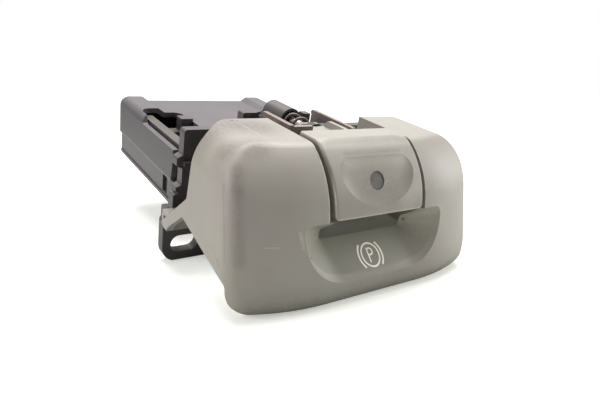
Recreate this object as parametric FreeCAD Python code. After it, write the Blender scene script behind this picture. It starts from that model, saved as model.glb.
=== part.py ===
import FreeCAD, Part
import math
import os

from FreeCAD import Placement, Rotation, Vector

os.makedirs("parts", exist_ok=True)
doc = FreeCAD.newDocument("parkingBrakeSwitch")
sheet = doc.addObject("Spreadsheet::Sheet", "Sizes")

# Millimetres and degrees. X runs across the front, Y from the front to the back, Z up.
sizes = {
    "bezelHalfWidth": 50.0,
    "bezelWidthLevel": 24.0,
    "bezelFlare": 4.1,
    "bezelWall": 2.4,
    "bezelTopDepth": 42.0,
    "bezelBottomRound": 5.0,
    "bezelCornerRound": 9.5,
    "frontRake": 15.0,
    "bendLevel": 29.5,
    "bendDepth": 2.2,
    "frontArcRadius": 28.0,
    "frontArcEnd": 57.0,
    "crestRadius": 6.0,
    "bowStart": 20.0,
    "bowCentreDepth": 69.0,
    "bezelShoulderRound": 13.0,
    "sideEdgeRound": 5.0,
    "skirtDepth": 35.6,
    "notchHalfWidth": 20.2,
    "notchReturn": 4.7,
    "scoopTop": 26.8,
    "scoopBottom": 8.3,
    "scoopTopHalf": 30.0,
    "scoopBottomHalf": 26.0,
    "openingHalf": 17.2,
    "openingDepth": 9.1,
    "openingLow": 17.2,
    "openingHigh": 20.8,
    "wellRear": 30.0,
    "wellTop": 36.0,
    "wellWall": 1.8,
    "handleHalfWidth": 18.1,
    "handleProud": 0.8,
    "handleWall": 3.4,
    "dishDepth": 1.9,
    "dishRadius": 19.0,
    "dishCentre": 9.7,
    "dishRound": 8.0,
    "armTop": 43.6,
    "armLow": 41.0,
    "handleTopDepth": 24.7,
    "lipLevel": 27.0,
    "faceTilt": 28.0,
    "faceLevel": 35.0,
    "faceDepth": 3.2,
    "lensDiameter": 5.8,
    "lensOffset": 2.8,
    "rodDiameter": 3.0,
    "rodLevel": 41.3,
    "handleTravel": 8.0,
    "bossRear": 41.5,
    "seatFront": 44.5,
    "seatThickness": 2.0,
    "springLength": 19.5,
    "springWire": 1.1,
    "springMeanRadius": 2.75,
    "springTurns": 3.3,
    "plateFront": 53.5,
    "plateThickness": 4.0,
    "plateHalfWidth": 44.2,
    "plateTop": 39.8,
    "lugHalfWidth": 50.0,
    "lugBottom": -9.4,
    "slotCentre": 41.7,
    "slotLevel": -2.5,
    "slotLength": 10.5,
    "slotWidth": 6.5,
    "boxHalfWidth": 38.7,
    "boxFront": 76.0,
    "boxRear": 143.7,
    "deckLevel": 27.0,
    "railTop": 29.0,
    "stepLevel": 12.0,
    "boxBottom": 1.0,
    "coverWall": 2.2,
    "boardLevel": 6.0,
    "boardThickness": 1.6,
    "switchDepth": 100.0,
    "switchOffset": 8.0,
    "plungerTravel": 0.8,
    "plungerDiameter": 2.0,
    "runningGap": 0.1,
}
row = 0
for alias in sizes:
    row = row + 1
    sheet.set("A" + str(row), alias)
    sheet.set("B" + str(row), str(sizes[alias]))
    sheet.setAlias("B" + str(row), alias)
doc.recompute()


def size(alias):
    return float(sheet.get(alias))


# Every sub-part is shown in the frame of the mounting slots.
mountShift = Placement(Vector(0, -size("plateFront"), -size("slotLevel")), Rotation())


# Lines and tangent arcs through corners given as (u, v, radius).
def roundedLoop(corners):
    count = len(corners)
    starts = []
    ends = []
    middles = []
    for i in range(count):
        here = Vector(corners[i][0], corners[i][1], 0)
        before = Vector(corners[i - 1][0], corners[i - 1][1], 0)
        after = Vector(corners[(i + 1) % count][0], corners[(i + 1) % count][1], 0)
        radius = corners[i][2]
        inward = (before - here).normalize()
        outward = (after - here).normalize()
        if radius <= 0:
            starts.append(here)
            ends.append(here)
            middles.append(None)
            continue
        half = inward.getAngle(outward) / 2.0
        reach = radius / math.tan(half)
        centre = here + (inward + outward).normalize() * (radius / math.sin(half))
        starts.append(here + inward * reach)
        ends.append(here + outward * reach)
        middles.append(centre + (here - centre).normalize() * radius)
    pieces = []
    for i in range(count):
        if middles[i] is not None:
            pieces.append(Part.Arc(starts[i], middles[i], ends[i]))
        following = (i + 1) % count
        if (starts[following] - ends[i]).Length > 1e-6:
            pieces.append(Part.LineSegment(ends[i], starts[following]))
    return pieces


def box2(left, right, low, high, radius=0.0):
    return roundedLoop([
        (left, low, radius),
        (right, low, radius),
        (right, high, radius),
        (left, high, radius),
    ])


# A slot with round ends, lying along U.
def slot2(centre, level, length, width):
    end = width / 2
    run = length / 2 - end
    return [
        Part.LineSegment(Vector(centre - run, level - end, 0), Vector(centre + run, level - end, 0)),
        Part.Arc(
            Vector(centre + run, level - end, 0),
            Vector(centre + run + end, level, 0),
            Vector(centre + run, level + end, 0),
        ),
        Part.LineSegment(Vector(centre + run, level + end, 0), Vector(centre - run, level + end, 0)),
        Part.Arc(
            Vector(centre - run, level + end, 0),
            Vector(centre - run - end, level, 0),
            Vector(centre - run, level - end, 0),
        ),
    ]


def circle2(u, v, radius):
    return [Part.Circle(Vector(u, v, 0), Vector(0, 0, 1), radius)]


def newBody(name):
    body = doc.addObject("PartDesign::Body", name)
    body.Label = name
    return body


def originPlane(body, role):
    for feature in body.Origin.OriginFeatures:
        if feature.Role == role:
            return feature
    return None


# One pad or pocket between two levels along the axis of its plane.
def slab(body, name, role, low, high, loops, cut=False):
    sketch = body.newObject("Sketcher::SketchObject", name + "Sketch")
    sketch.AttachmentSupport = (originPlane(body, role), [""])
    sketch.MapMode = "FlatFace"
    towardAxis = role != "XZ_Plane"
    atHigh = towardAxis == cut
    level = high if atHigh else low
    sketch.AttachmentOffset = Placement(Vector(0, 0, level if towardAxis else -level), Rotation())
    for loop in loops:
        sketch.addGeometry(loop, False)
    kind = "PartDesign::Pocket" if cut else "PartDesign::Pad"
    feature = body.newObject(kind, name)
    feature.Profile = sketch
    feature.Length = high - low
    before = body.Shape.Volume if body.Shape.Solids else 0.0
    doc.recompute()
    change = body.Shape.Volume - before
    print(body.Label, name, round(change, 1))
    return feature


def partFeature(name, shape):
    feature = doc.addObject("Part::Feature", name)
    feature.Label = name
    feature.Shape = shape
    return feature


def faceOf(pieces, place):
    wire = Part.Wire([piece.toShape() for piece in pieces])
    face = Part.Face(wire)
    face.Placement = place
    return face


# Sketch U and V laid along Y and Z, and along X and Z.
sideView = Placement(Vector(0, 0, 0), Rotation(Vector(0, 1, 0), Vector(0, 0, 1), Vector(1, 0, 0), "XYZ"))
frontView = Placement(Vector(0, 0, 0), Rotation(Vector(1, 0, 0), Vector(0, 0, 1), Vector(0, -1, 0), "XYZ"))


def sidePrism(pieces, left, right):
    face = faceOf(pieces, sideView)
    face.translate(Vector(left, 0, 0))
    return face.extrude(Vector(right - left, 0, 0))


def frontPrism(pieces, near, far):
    face = faceOf(pieces, frontView)
    face.translate(Vector(0, near, 0))
    return face.extrude(Vector(0, far - near, 0))


def planPrism(pieces, low, high):
    face = faceOf(pieces, Placement())
    face.translate(Vector(0, 0, low))
    return face.extrude(Vector(0, 0, high - low))


def block(left, right, near, far, low, high):
    return Part.makeBox(right - left, far - near, high - low, Vector(left, near, low))


rake = math.radians(size("frontRake"))
arcEnd = math.radians(size("frontArcEnd"))
arcRadius = size("frontArcRadius")
arcY = size("bendDepth") + arcRadius * math.cos(rake)
arcZ = size("bendLevel") - arcRadius * math.sin(rake)
crestY = arcY - (arcRadius - size("crestRadius")) * math.cos(arcEnd)
crestZ = arcZ + (arcRadius - size("crestRadius")) * math.sin(arcEnd)


# Side view of the front: raked face, swept arc, crest and flat top.
def frontProfile(inset, rearDepth):
    big = arcRadius - inset
    small = size("crestRadius") - inset
    low = size("bezelBottomRound") - inset

    def onBig(angle):
        return Vector(arcY - big * math.cos(angle), arcZ + big * math.sin(angle), 0)

    def onCrest(angle):
        return Vector(crestY - small * math.cos(angle), crestZ + small * math.sin(angle), 0)

    bend = onBig(rake)
    down = Vector(-math.sin(rake), -math.cos(rake), 0)
    inward = Vector(math.cos(rake), -math.sin(rake), 0)
    run = (bend.y - low * math.sin(rake) - inset - low) / math.cos(rake)
    foot = bend + down * run
    lowCentre = foot + inward * low
    lowMiddle = math.radians(217.5)
    lowPoint = Vector(lowCentre.x + low * math.cos(lowMiddle), lowCentre.y + low * math.sin(lowMiddle), 0)
    bottom = Vector(lowCentre.x, inset, 0)
    rearLow = Vector(rearDepth, inset, 0)
    rearHigh = Vector(rearDepth, crestZ + small, 0)
    crestTop = onCrest(math.pi / 2)
    return [
        Part.LineSegment(bend, foot),
        Part.Arc(foot, lowPoint, bottom),
        Part.LineSegment(bottom, rearLow),
        Part.LineSegment(rearLow, rearHigh),
        Part.LineSegment(rearHigh, crestTop),
        Part.Arc(crestTop, onCrest((math.pi / 2 + arcEnd) / 2), onCrest(arcEnd)),
        Part.Arc(onCrest(arcEnd), onBig((arcEnd + rake) / 2), bend),
    ]


# The whole front form with crowned ends and flared sides, drawn in by an inset.
def bezelForm(inset, rearDepth):
    start = size("bowStart")
    pivot = size("bowCentreDepth")
    form = sidePrism(frontProfile(inset, rearDepth), -start, start)
    for side in (-1, 1):
        quarter = faceOf(frontProfile(inset, pivot), sideView)
        quarter.translate(Vector(side * start, 0, 0))
        axis = Vector(side * start, pivot, 0)
        form = form.fuse(quarter.revolve(axis, Vector(0, 0, 1), side * 90))
    slope = math.tan(math.radians(size("bezelFlare")))
    lowHalf = size("bezelHalfWidth") + (size("bezelWidthLevel") - inset) * slope - inset
    highLevel = crestZ + size("crestRadius") - inset
    highHalf = size("bezelHalfWidth") + (size("bezelWidthLevel") - highLevel) * slope - inset
    corner = size("bezelCornerRound") - inset
    shoulder = size("bezelShoulderRound") - inset
    outline = roundedLoop([
        (-lowHalf, inset, corner),
        (lowHalf, inset, corner),
        (highHalf, highLevel, shoulder),
        (-highHalf, highLevel, shoulder),
    ])
    return form.removeSplitter().common(frontPrism(outline, -30, rearDepth + 5))


# Bezel: one moulding with side skirts, straps to the lugs, the finger scoop and the handle notch.
outerForm = bezelForm(0, 60)
sideEdges = []
for edge in outerForm.Edges:
    middle = edge.valueAt((edge.FirstParameter + edge.LastParameter) / 2)
    if middle.y < size("bowCentreDepth") - 25 and abs(middle.x) > size("bowStart") + 12:
        flatSides = 0
        for face in outerForm.ancestorsOfType(edge, Part.Face):
            u, v = face.Surface.parameter(middle)
            if abs(face.normalAt(u, v).y) < 1e-4:
                flatSides = flatSides + 1
        if flatSides == 1:
            sideEdges.append(edge)
print("front side edges", len(sideEdges))
outerForm = outerForm.makeFillet(size("sideEdgeRound"), sideEdges)
print("rounded form", outerForm.isValid(), round(outerForm.Volume, 1))
wall = size("bezelWall")
notch = size("notchHalfWidth")
innerForm = bezelForm(wall, 62)
shell = outerForm.cut(innerForm)
deepForm = bezelForm(size("notchReturn"), 62)
for side in (-1, 1):
    nearX = min(side * notch, side * (notch + 1.8))
    strip = block(nearX, nearX + 1.8, -20, 60, 24, 60)
    shell = shell.fuse(outerForm.common(strip).cut(deepForm))
    cheek = block(nearX, nearX + 1.8, 14, size("bezelTopDepth"), size("wellTop") - 2, 60)
    shell = shell.fuse(cheek.common(outerForm))

scoopFrame = Placement(
    Vector(0, size("bendDepth") + (17.5 - size("bendLevel")) * math.tan(rake), 17.5),
    Rotation(
        Vector(1, 0, 0),
        Vector(0, math.sin(rake), math.cos(rake)),
        Vector(0, -math.cos(rake), math.sin(rake)),
        "XYZ",
    ),
)


def scoopSection(grow):
    top = (size("scoopTop") - 17.5) / math.cos(rake) + grow
    bottom = (size("scoopBottom") - 17.5) / math.cos(rake) - grow
    return roundedLoop([
        (-size("scoopTopHalf") - grow, top, 3.0 + grow),
        (-size("scoopBottomHalf") - grow, bottom, 16.0 + grow),
        (size("scoopBottomHalf") + grow, bottom, 16.0 + grow),
        (size("scoopTopHalf") + grow, top, 3.0 + grow),
    ])


def scoopForm(grow, lead):
    front = Part.Wire([piece.toShape() for piece in scoopSection(grow)])
    front.Placement = scoopFrame
    half = size("openingHalf") + grow
    rear = roundedLoop([
        (-half, size("openingHigh") + grow, 1.2 + grow),
        (-half, size("openingLow") - grow, 1.2 + grow),
        (half, size("openingLow") - grow, 1.2 + grow),
        (half, size("openingHigh") + grow, 1.2 + grow),
    ])
    back = Part.Wire([piece.toShape() for piece in rear])
    back.Placement = frontView
    back.translate(Vector(0, size("openingDepth"), 0))
    form = Part.makeLoft([front, back], True, True)
    if lead > 0:
        face = Part.Face(front)
        outward = Vector(0, -math.cos(rake), math.sin(rake))
        form = form.fuse(face.extrude(outward * lead))
    return form


shell = shell.fuse(scoopForm(wall, 0).common(outerForm))
# A closed finger well behind the opening: shelf, rear wall and two sides.
wellWall = size("wellWall")
wellRear = size("wellRear")
shelfTop = size("openingLow")
shelfLow = shelfTop - 2.0
wellTop = size("wellTop")
wellHalf = notch + wellWall
well = block(-wellHalf, wellHalf, 7.5, wellRear + wellWall, shelfLow, shelfTop)
well = well.fuse(block(-wellHalf, wellHalf, wellRear, wellRear + wellWall, shelfLow, wellTop))
for side in (-1, 1):
    wellSide = min(side * notch, side * (notch + wellWall))
    well = well.fuse(block(wellSide, wellSide + wellWall, 9.0, wellRear + wellWall, shelfLow, wellTop))
shell = shell.fuse(well.common(outerForm))
shell = shell.cut(scoopForm(0, 6))
# The handle notch runs up the front and back through the top wall.
shell = shell.cut(block(-notch, notch, -20, 29.9, 26.6, 60))
shell = shell.cut(block(-notch, notch, 29, 70, wellTop, 60))
opening = size("openingHalf")
shell = shell.cut(block(-opening, opening, -20, 29.9, size("openingLow") + 0.6, 40))

skirtSide = roundedLoop([
    (-20, -5, 0),
    (4.2, -5, 0),
    (5.2, 10.4, 2.0),
    (36.8, 16.7, 0.8),
    (51.8, 4.0, 0.8),
    (53.48, 4.6, 0.5),
    (53.48, 7.2, 0.8),
    (size("skirtDepth"), 23.3, 1.5),
    (size("skirtDepth"), 28, 0),
    (60, 28, 0),
    (60, 60, 0),
    (-20, 60, 0),
])
shell = shell.common(sidePrism(skirtSide, -60, 60))
topDepth = size("bezelTopDepth")
skirt = size("skirtDepth")
rearOutline = roundedLoop([
    (-60, -30, 0),
    (60, -30, 0),
    (60, skirt - 0.2, 0),
    (45.5, skirt - 0.1, 13),
    (37.5, topDepth, 13),
    (-37.5, topDepth, 13),
    (-45.5, skirt - 0.1, 13),
    (-60, skirt - 0.2, 0),
])
upperKeep = planPrism(rearOutline, 23.4, 60)
lowerKeep = block(-60, 60, -30, 70, 0.05, 23.4)
shell = shell.common(upperKeep.fuse(lowerKeep))
# Small web across each strap end, in front of the lug.
for side in (-1, 1):
    webInner = size("bezelHalfWidth") - 9.4
    webLeft = min(side * webInner, side * (webInner + 10.4))
    web = block(webLeft, webLeft + 10.4, 51.9, 53.48, 4.0, 12.0)
    footPlate = block(webLeft, webLeft + 10.4, 44.0, 53.48, 10.6, 12.0)
    shell = shell.fuse(web.fuse(footPlate).common(bezelForm(0.4, 62)))
shell = shell.removeSplitter()
print("bezel", shell.isValid(), len(shell.Solids), round(shell.Volume, 1), shell.BoundBox)
bezel = partFeature("bezel", shell)

# Pull handle: proud of the bezel by a little, open behind so that fingers hook the lip.
tilt = math.radians(size("faceTilt"))
outward = Vector(0, -math.cos(tilt), math.sin(tilt))
upward = Vector(0, math.sin(tilt), math.cos(tilt))
facePoint = Vector(0, size("faceDepth"), size("faceLevel"))
faceRotation = Rotation(Vector(1, 0, 0), upward, outward, "XYZ")


def onFace(across, along, depth):
    return facePoint + Vector(across, 0, 0) + upward * along - outward * depth


# A block in the tilted frame of the handle's face: across, along and into it.
def faceBlock(width, low, high, near, far):
    solid = Part.makeBox(width, high - low, far - near, Vector(-width / 2, low, -far))
    solid.Placement = Placement(facePoint, faceRotation)
    return solid


def faceCylinder(along, radius, near, far, across=0.0):
    return Part.makeCylinder(radius, far - near, onFace(across, along, far), outward)


half = size("handleHalfWidth")
lip = size("lipLevel")
handleWall = size("handleWall")
handleRear = size("handleTopDepth")
handleFront = sidePrism(frontProfile(-size("handleProud"), handleRear), -22, 22)
handleTop = crestZ + size("crestRadius") + size("handleProud")
handleOutline = roundedLoop([
    (-half, lip, 1.6),
    (half, lip, 1.6),
    (half + 0.7, handleTop + 5, 0),
    (-half - 0.7, handleTop + 5, 0),
])
handle = handleFront.common(frontPrism(handleOutline, -20, 60))
softEdges = []
for edge in handle.Edges:
    middle = edge.valueAt((edge.FirstParameter + edge.LastParameter) / 2)
    onFront = middle.y < handleRear - 0.5 and middle.z > lip + 0.2
    faces = handle.ancestorsOfType(edge, Part.Face)
    upright = 0
    for face in faces:
        u, v = face.Surface.parameter(middle)
        if abs(face.normalAt(u, v).x) > 0.9:
            upright = upright + 1
    if onFront and upright == 1 and abs(middle.x) > 16 and edge.Length > 0.5:
        softEdges.append(edge)
print("handle soft edges", len(softEdges))
handle = handle.makeFillet(0.8, softEdges)
cavity = sidePrism(frontProfile(handleWall - size("handleProud"), 60), -half + 1.9, half - 1.9)
cavity = cavity.common(block(-30, 30, -20, 60, 10, handleTop - handleWall))
handle = handle.cut(cavity)
cheekRelief = sidePrism(roundedLoop([
    (4.4, 20, 0), (40, 20, 0), (40, 38, 0), (24.7, 37.5, 3), (6.2, 29.5, 3),
]), -30, 30)
handle = handle.cut(cheekRelief)
# Thumb dish: round below, running out at the crest, with a soft edge all round.
dish = faceCylinder(size("dishCentre"), size("dishRadius"), -9, size("dishDepth"))
dishBottom = onFace(0, size("dishCentre"), size("dishDepth"))
dishRims = [edge for edge in dish.Edges if (edge.CenterOfMass - dishBottom).Length < 0.1]
handle = handle.cut(dish.makeFillet(size("dishRound"), dishRims))
lensAlong = size("lensOffset")
lensRadius = size("lensDiameter") / 2
handle = handle.cut(faceCylinder(lensAlong, lensRadius + 0.1, -3, 6))
# Arm to the pull rod, with a stiffening fin and the rod boss.
armTop = size("armTop")
armLow = size("armLow")
armPlan = roundedLoop([
    (-12.6, handleRear - 1.5, 0),
    (12.6, handleRear - 1.5, 0),
    (12.6, handleRear + 1.5, 2),
    (5.2, 33.5, 6),
    (5.2, size("bossRear"), 0),
    (-5.2, size("bossRear"), 0),
    (-5.2, 33.5, 6),
    (-12.6, handleRear + 1.5, 2),
])
handle = handle.fuse(planPrism(armPlan, armLow, armTop))
handle = handle.fuse(block(-12.6, 12.6, handleRear - 1.8, handleRear, armLow, 45.0))
handle = handle.fuse(sidePrism(roundedLoop([
    (handleRear - 0.7, 42.6, 0), (41.3, 42.6, 0), (41.3, 44.6, 0.4), (39.6, 45.9, 1),
    (30.0, 45.9, 1), (27.0, 44.0, 1), (handleRear - 0.7, 44.0, 0),
]), 3.6, 5.2))
handle = handle.fuse(block(-4.2, 4.2, 32.5, size("bossRear"), 37.6, armLow + 0.5))
handle = handle.fuse(sidePrism(roundedLoop([
    (handleRear - 1.8, 42.0, 0), (32.6, 42.0, 0), (32.6, 38.5, 1), (28.0, 40.2, 2),
]), -1.2, 1.2))
rodRadius = size("rodDiameter") / 2
rodLevel = size("rodLevel")


def depthCylinder(radius, near, far, across=0.0, level=0.0):
    return Part.makeCylinder(radius, far - near, Vector(across, near, level), Vector(0, 1, 0))


handle = handle.cut(depthCylinder(rodRadius, 30.5, 60, 0, rodLevel))
handle = handle.removeSplitter()
print("handle", handle.isValid(), len(handle.Solids), round(handle.Volume, 1), handle.BoundBox)
pullHandle = partFeature("pull_handle", handle)

# Lens: a round window with a stepped collar behind the wall.
lens = faceCylinder(lensAlong, lensRadius, size("dishDepth") + 0.35, 4.3)
lens = lens.fuse(faceCylinder(lensAlong, lensRadius + 0.9, 4.3, 4.9))
lens = lens.fuse(faceCylinder(lensAlong, 1.9, 4.9, 5.18)).removeSplitter()
statusLens = partFeature("status_lens", lens)

# Small board behind the handle's wall, with the lamp in front and the release switch behind.
lampBoard = partFeature("lamp_board", faceBlock(20.0, -5.0, 6.4, 6.4, 7.4))
lamp = faceBlock(3.2, lensAlong - 1.4, lensAlong + 1.4, 5.2, 6.4)
lamp = lamp.cut(faceCylinder(lensAlong, 1.1, 5.0, 5.6))
statusLamp = partFeature("status_lamp", lamp)
switchAlong = -2.0
tact = faceBlock(6.0, switchAlong - 2.6, switchAlong + 2.6, 7.4, 9.4)
tact = tact.cut(faceCylinder(switchAlong, 1.55, 7.7, 9.5))
releaseSwitch = partFeature("release_switch", tact)

# Inner cover of the handle: a frame that holds the board and guides the release button.
backing = faceBlock(32.0, -5.6, 7.2, 7.4, 9.2)
backing = backing.fuse(faceBlock(32.0, 5.2, 7.2, 7.4, 13.0))
for side in (-1, 1):
    left = -16.0 if side < 0 else 11.2
    rib = Part.makeBox(4.8, 12.8, 5.6, Vector(left, -5.6, -13.0))
    rib.Placement = Placement(facePoint, faceRotation)
    backing = backing.fuse(rib)
backing = backing.cut(faceBlock(6.4, switchAlong - 2.8, switchAlong + 2.8, 7.0, 9.6))
backing = backing.cut(faceBlock(20.4, -5.2, 6.6, 6.0, 7.4))
for side in (-1, 1):
    backing = backing.cut(faceCylinder(0.0, 1.3, 7.0, 10.0, side * 7.5))
backing = backing.common(cavity).removeSplitter()
print("backing", backing.isValid(), len(backing.Solids), round(backing.Volume, 1))
handleBacking = partFeature("handle_backing", backing)

# Release button: pressed from behind while the handle is pulled.
button = faceBlock(21.6, -4.6, 4.6, 11.0, 12.8)
button = button.fuse(faceCylinder(switchAlong, 1.4, 8.6, 11.0))
for side in (-1, 1):
    button = button.fuse(faceCylinder(0.0, 1.2, 8.6, 11.0, side * 7.5))
for line in (-3.0, -1.0, 1.0, 3.0):
    button = button.fuse(faceBlock(17.0, line - 0.4, line + 0.4, 12.7, 13.2))
button = button.removeSplitter()
releaseButton = partFeature("release_button", button)

# Pull rod, return spring, stop bumper and the drop slider at the rod's rear end.
springFront = size("seatFront") + size("seatThickness")
springRear = springFront + size("springLength")
rod = depthCylinder(rodRadius, 31.0, springRear + 6.0, 0, rodLevel)
rod = rod.cut(depthCylinder(rodRadius + 1, springRear + 4.6, springRear + 5.2, 0, rodLevel).cut(
    depthCylinder(rodRadius - 0.4, springRear + 4.0, springRear + 6.0, 0, rodLevel)))
pullRod = partFeature("pull_rod", rod)
clip = depthCylinder(3.0, springRear + 4.65, springRear + 5.15, 0, rodLevel)
clip = clip.cut(depthCylinder(rodRadius - 0.35, springRear + 4.0, springRear + 6.0, 0, rodLevel))
clip = clip.cut(block(-0.9, 0.9, springRear + 4, springRear + 6, rodLevel - 5, rodLevel))
rodClip = partFeature("rod_clip", clip)
bumper = depthCylinder(3.0, size("bossRear") + 0.02, size("seatFront"), 0, rodLevel)
bumper = bumper.cut(depthCylinder(rodRadius + 0.3, 30, 60, 0, rodLevel))
stopBumper = partFeature("stop_bumper", bumper)

turns = size("springTurns")
wire = size("springWire")
coilLength = size("springLength") - wire - 0.2
coilRadius = size("springMeanRadius")
helix = Part.makeHelix(coilLength / turns, coilLength, coilRadius)
section = Part.Wire([Part.Circle(Vector(coilRadius, 0, 0), Vector(0, 1, 0), wire / 2).toShape()])
coil = Part.Wire(helix.Edges).makePipeShell([section], True, True)
coil.rotate(Vector(0, 0, 0), Vector(0, 0, 1), 116)
coil.rotate(Vector(0, 0, 0), Vector(1, 0, 0), -90)
coil.translate(Vector(0, springFront + wire / 2 + 0.1, rodLevel))
returnSpring = partFeature("return_spring", coil)

switchDepth = size("switchDepth")
plungerHigh = 15.3
plungerLow = plungerHigh - size("plungerTravel")
slider = depthCylinder(3.4, springRear, springRear + 4.5, 0, rodLevel)
slider = slider.fuse(block(-3.4, 3.4, springRear, springRear + 4.5, 17.5, rodLevel))
slider = slider.fuse(block(-3.4, 3.4, springRear, switchDepth + 10, 17.5, 20.0))
slider = slider.fuse(block(-11.0, 11.0, switchDepth - 5, switchDepth + 10, 17.5, 20.0))
slider = slider.fuse(sidePrism(roundedLoop([
    (springRear + 4.5, 20.0, 0), (springRear + 12.0, 20.0, 0), (springRear + 4.5, 27.0, 0),
]), -1.2, 1.2))
travel = size("handleTravel")
for side in (-1, 1):
    first = plungerHigh if side < 0 else plungerLow
    last = plungerLow if side < 0 else plungerHigh
    slope = (last - first) / travel
    cam = sidePrism(roundedLoop([
        (switchDepth - 2.5, 18.0, 0),
        (switchDepth - 2.5, first - slope * 2.5 + 0.04, 0),
        (switchDepth + travel + 2.0, last + slope * 2.0 + 0.04, 0),
        (switchDepth + travel + 2.0, 18.0, 0),
    ]), side * size("switchOffset") - 1.6, side * size("switchOffset") + 1.6)
    slider = slider.fuse(cam)
slider = slider.cut(depthCylinder(rodRadius, 60, 90, 0, rodLevel)).removeSplitter()
print("slider", slider.isValid(), len(slider.Solids), round(slider.Volume, 1))
switchSlider = partFeature("switch_slider", slider)

# Carrier: front plate with the two slotted lugs, spring cradle, guide tube and side rails.
carrier = newBody("carrier")
plateFront = size("plateFront")
plateRear = plateFront + size("plateThickness")
plateHalf = size("plateHalfWidth")
lugHalf = size("lugHalfWidth")
lugLow = size("lugBottom")
plateTop = size("plateTop")
rightSide = [
    (27.0, 1.5, 3),
    (31.5, lugLow, 1.5),
    (lugHalf, lugLow, 6),
    (lugHalf, 7.0, 2),
    (plateHalf + 2.8, 11.0, 1),
    (plateHalf + 2.8, 16.6, 0.5),
    (plateHalf + 0.6, 17.2, 0.3),
    (plateHalf + 2.0, 18.0, 0.3),
    (plateHalf + 2.0, 19.4, 0.3),
    (plateHalf, 20.2, 0.3),
    (plateHalf, 26.2, 0.5),
    (plateHalf + 2.1, 27.2, 0.8),
    (plateHalf + 2.1, 30.0, 0.8),
    (plateHalf, 31.0, 0.5),
    (plateHalf, plateTop, 1.2),
]
leftSide = [(-u, v, r) for (u, v, r) in reversed(rightSide)]
springNotch = [(6.5, plateTop, 0.5), (5.0, 36.2, 3.0), (-5.0, 36.2, 3.0), (-6.5, plateTop, 0.5)]
plateOutline = roundedLoop(rightSide + springNotch + leftSide)
window = box2(-20.0, 20.0, 8.0, 22.0, 2.0)
slab(carrier, "plate", "XZ_Plane", plateFront, plateRear, [plateOutline])
slab(carrier, "plateWindow", "XZ_Plane", plateFront - 1, plateRear + 1, [window], True)
for side, label in ((-1, "Left"), (1, "Right")):
    slot = slot2(side * size("slotCentre"), size("slotLevel"), size("slotLength"), size("slotWidth"))
    slab(carrier, "lugSlot" + label, "XZ_Plane", plateFront - 1, plateRear + 1, [slot], True)
    inner = min(side * 43.0, side * 45.0)
    gusset = roundedLoop([(plateRear - 1, 1.0, 0), (69.0, 1.0, 1), (69.0, 6.5, 1), (plateRear - 1, 11.0, 0)])
    slab(carrier, "gusset" + label, "YZ_Plane", inner, inner + 2.0, [gusset])
    railIn = min(side * 31.8, side * 35.8)
    rail = roundedLoop([
        (plateRear - 1, 12.6, 0), (64.0, 13.6, 2), (120.0, 13.6, 1), (120.0, 26.4, 1), (70.0, 26.4, 4),
        (plateRear - 1, 34.0, 0),
    ])
    slab(carrier, "rail" + label, "YZ_Plane", railIn, railIn + 4.0, [rail])
    lightening = box2(74.0, 112.0, 16.4, 23.0, 1.5)
    pocketLow = min(side * 33.4, side * 36.4)
    slab(carrier, "railPocket" + label, "YZ_Plane", pocketLow, pocketLow + 3.0, [lightening], True)
    padLow = min(side * 35.6, side * (size("boxHalfWidth") - size("coverWall") - 0.02))
    pad = box2(115.5, 119.5, 16.0, 24.0, 0.5)
    slab(carrier, "railPad" + label, "YZ_Plane", padLow, padLow + 0.88, [pad])
plateRib = box2(-plateHalf, plateHalf, 27.6, 28.8)
slab(carrier, "plateRib", "XZ_Plane", plateFront - 1.8, plateFront + 0.5, [plateRib])
slab(carrier, "crossBar", "XZ_Plane", 105.5, 111.5, [box2(-33.0, 33.0, 20.6, 22.6)])
for side, label in ((-1, "Left"), (1, "Right")):
    postLeft = min(side * 23.6, side * 18.0)
    post = box2(postLeft, postLeft + 5.6, 105.7, 111.3, 0.5)
    slab(carrier, "post" + label, "XY_Plane", 21.0, 28.4, [post])
slab(carrier, "plateTab", "XZ_Plane", plateFront, plateRear, [box2(-23.0, -16.6, 38.0, 45.4, 0.8)])
tubeInner = 3.65
tubeOuter = 4.5
tubeRear = 71.0
for side, label in ((-1, "Left"), (1, "Right")):
    wallLow = min(side * tubeInner, side * tubeOuter)
    tubeSide = box2(plateRear - 1, tubeRear, 33.5, rodLevel)
    slab(carrier, "tubeWall" + label, "YZ_Plane", wallLow, wallLow + tubeOuter - tubeInner, [tubeSide])
    webLow = min(side * tubeInner, side * (tubeInner + 5.2))
    web = box2(webLow, webLow + 5.2, 33.5, 39.4)
    slab(carrier, "tubeWeb" + label, "XZ_Plane", plateRear - 1, plateRear + 1.5, [web])
tubeOutline = [
    Part.Arc(
        Vector(tubeOuter, rodLevel, 0), Vector(0, rodLevel + tubeOuter, 0), Vector(-tubeOuter, rodLevel, 0)
    ),
    Part.LineSegment(Vector(-tubeOuter, rodLevel, 0), Vector(-tubeInner, rodLevel, 0)),
    Part.Arc(
        Vector(-tubeInner, rodLevel, 0), Vector(0, rodLevel + tubeInner, 0), Vector(tubeInner, rodLevel, 0)
    ),
    Part.LineSegment(Vector(tubeInner, rodLevel, 0), Vector(tubeOuter, rodLevel, 0)),
]
slab(carrier, "guideTube", "XZ_Plane", plateRear, tubeRear, [tubeOutline])
slab(carrier, "towerFoot", "XY_Plane", 33.5, 35.5, [box2(4.5, 13.0, plateRear - 1, 67.0)])
slab(carrier, "tower", "XY_Plane", 34.5, 42.6, [box2(8.8, 12.2, 61.5, 65.5, 0.5)])

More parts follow.
